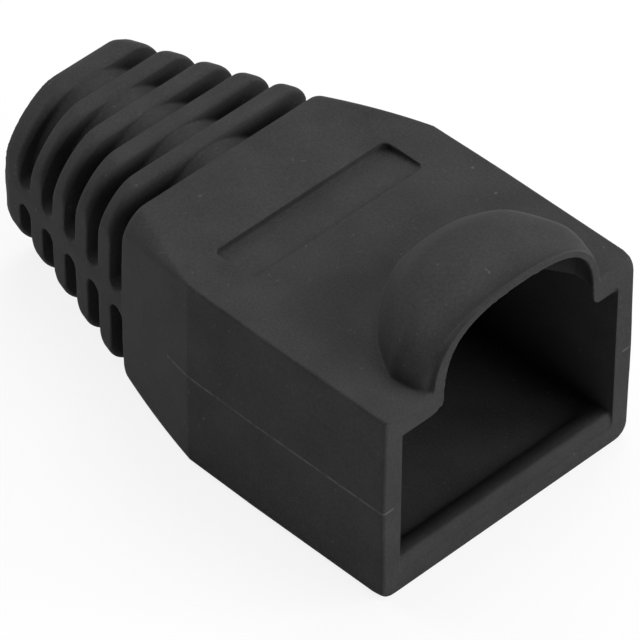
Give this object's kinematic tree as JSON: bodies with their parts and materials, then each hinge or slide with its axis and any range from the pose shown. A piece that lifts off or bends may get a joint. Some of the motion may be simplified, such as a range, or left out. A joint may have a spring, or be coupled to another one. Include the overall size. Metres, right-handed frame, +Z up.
{
  "type": "modular plug strain relief boot",
  "caption": "Slip-on boot for a modular plug: square sleeve with a domed latch hood, flaring down to a ribbed, slotted tail with a cable bore.",
  "frame": {"origin": "centre of the bounding box in plan, on the flat underside of the sleeve", "axes": "+X out of the plug mouth, +Y across the width, +Z up through the hood"},
  "size_m": [0.025, 0.014, 0.0128],
  "materials": {
    "boot": "fine satin grain, soft moulded plastic"
  },
  "bodies": {
    "root": {"strain_relief_boot": "boot"}
  },
  "joints": []
}
